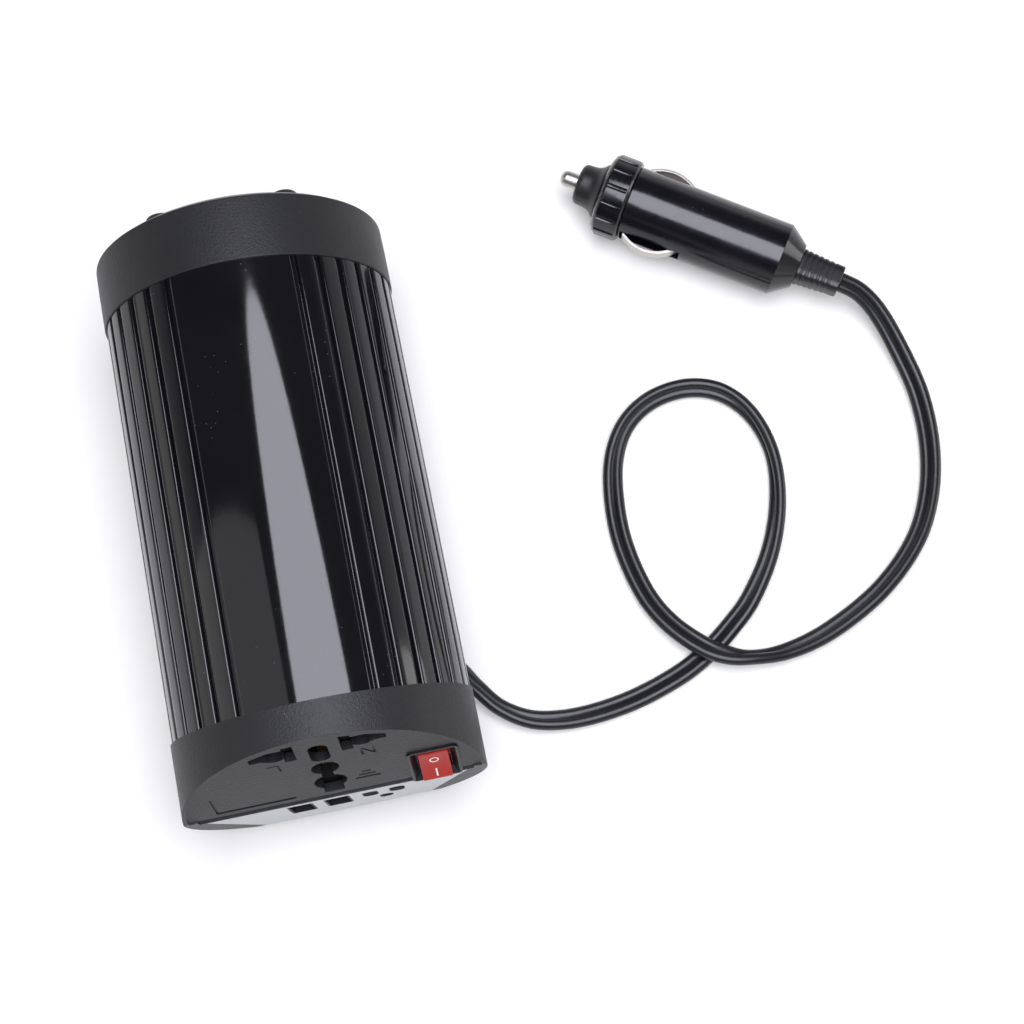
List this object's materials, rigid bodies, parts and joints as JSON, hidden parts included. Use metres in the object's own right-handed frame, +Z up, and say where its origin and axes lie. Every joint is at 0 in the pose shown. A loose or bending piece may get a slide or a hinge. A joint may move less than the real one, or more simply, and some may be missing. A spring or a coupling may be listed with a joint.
{
  "type": "power inverter",
  "caption": "Can-shaped car power inverter with a sloped universal socket face, rocker switch, data ports, vented fan base and a twin lead to a 12 volt car plug.",
  "frame": {"origin": "on the table under the middle of the can, the cord and plug left out", "axes": "+Z up from the table, the can's axis along Y with its socket end toward -Y and its standing end toward +Y, +X toward the cord and plug"},
  "size_m": [0.2025, 0.1526, 0.0701],
  "materials": {
    "tube": "glossy black anodised aluminium",
    "cap_black": "fine-grained charcoal ABS",
    "end_plate": "grey moulded vent plate",
    "rubber": "soft black rubber",
    "screw_steel": "zinc plated",
    "fan_black": "moulded fan frame",
    "core_black": "moulded insulator",
    "contact_brass": "rolled brass",
    "label_silver": "satin silver label",
    "usb_steel": "tinned steel shell",
    "usb_plastic": "black contact tongue",
    "lens_smoke": "smoked window",
    "led_clear": "clear epoxy",
    "board_green": "solder mask on glass fibre",
    "switch_black": "moulded switch body",
    "rocker_red": "red semi-gloss rocker",
    "mark_white": "white paint fill",
    "tab_steel": "tinned brass tabs",
    "ferrite": "ferrite",
    "coil_tape": "taped winding",
    "capacitor_sleeve": "sleeved can",
    "copper_winding": "enamelled copper",
    "heat_aluminium": "sawn bar",
    "chip_black": "epoxy package",
    "cord_pvc": "soft black PVC twin lead",
    "plug_gloss": "polished black phenolic",
    "plug_nose": "satin black phenolic",
    "nickel": "nickel plated brass",
    "spring_steel": "spring wire",
    "fuse_glass": "clear glass"
  },
  "bodies": {
    "can": {"tube": "tube", "base_cap": "cap_black", "end_plate": "end_plate", "feet": "rubber", "base_screws": "screw_steel", "fan_frame": "fan_black", "socket_cap": "cap_black", "socket_core": "core_black", "live_contact": "contact_brass", "neutral_contact": "contact_brass", "earth_contact": "contact_brass", "label_plate": "label_silver", "usb_shells": "usb_steel", "usb_tongues": "usb_plastic", "indicators": "lens_smoke", "leds": "led_clear", "usb_board": "board_green", "switch_housing": "switch_black", "switch_tabs": "tab_steel", "main_board": "board_green", "transformer_core": "ferrite", "transformer_coil": "coil_tape", "capacitors": "capacitor_sleeve", "choke": "copper_winding", "heat_bar": "heat_aluminium", "transistors": "chip_black", "cap_screws": "screw_steel", "grommet": "rubber", "cord": "cord_pvc", "plug_barrel": "plug_gloss", "plug_boot": "cord_pvc", "fuse_glass": "fuse_glass", "fuse_ends": "nickel"},
    "fan": {"fan_rotor": "fan_black"},
    "rocker": {"rocker": "rocker_red", "rocker_marks": "mark_white"},
    "nose": {"plug_nose": "plug_nose"},
    "ring": {"plug_ring": "plug_gloss"},
    "tip": {"plug_tip": "nickel", "tip_spring": "spring_steel"},
    "contact_a": {"side_contact_a": "nickel"},
    "contact_b": {"side_contact_b": "nickel"}
  },
  "joints": [
    {"name": "rocker_pivot", "type": "hinge", "parent": "can", "child": "rocker", "pos_m": [0.0235, -0.06306, 0.04251], "axis": [1, 0, 0], "range_deg": [0, 16]},
    {"name": "fan_spin", "type": "hinge", "parent": "can", "child": "fan", "pos_m": [0, 0.0585, 0.035], "axis": [0, 1, 0], "continuous": true},
    {"name": "ring_turn", "type": "hinge", "parent": "nose", "child": "ring", "pos_m": [0.1013, 0.0713, 0.01085], "axis": [-0.829, 0.5592, 0], "range_deg": [0, 1440]},
    {"name": "nose_slide", "type": "slide", "parent": "can", "child": "nose", "axis": [-0.829, 0.5592, 0], "range_m": [0, 0.006]},
    {"name": "tip_press", "type": "slide", "parent": "nose", "child": "tip", "axis": [0.829, -0.5592, 0], "range_m": [0, 0.002], "stiffness_N_per_m": 900, "springref_m": -0.001},
    {"name": "contact_a_press", "type": "slide", "parent": "can", "child": "contact_a", "axis": [0.5592, 0.829, 0], "range_m": [0, 0.0022], "stiffness_N_per_m": 600, "springref_m": -0.0005},
    {"name": "contact_b_press", "type": "slide", "parent": "can", "child": "contact_b", "axis": [-0.5592, -0.829, 0], "range_m": [0, 0.0022], "stiffness_N_per_m": 600, "springref_m": -0.0005}
  ],
  "couplings": [
    {"joint": "ring_turn", "follows": "nose_slide", "rad_per_m": 4188.8}
  ]
}
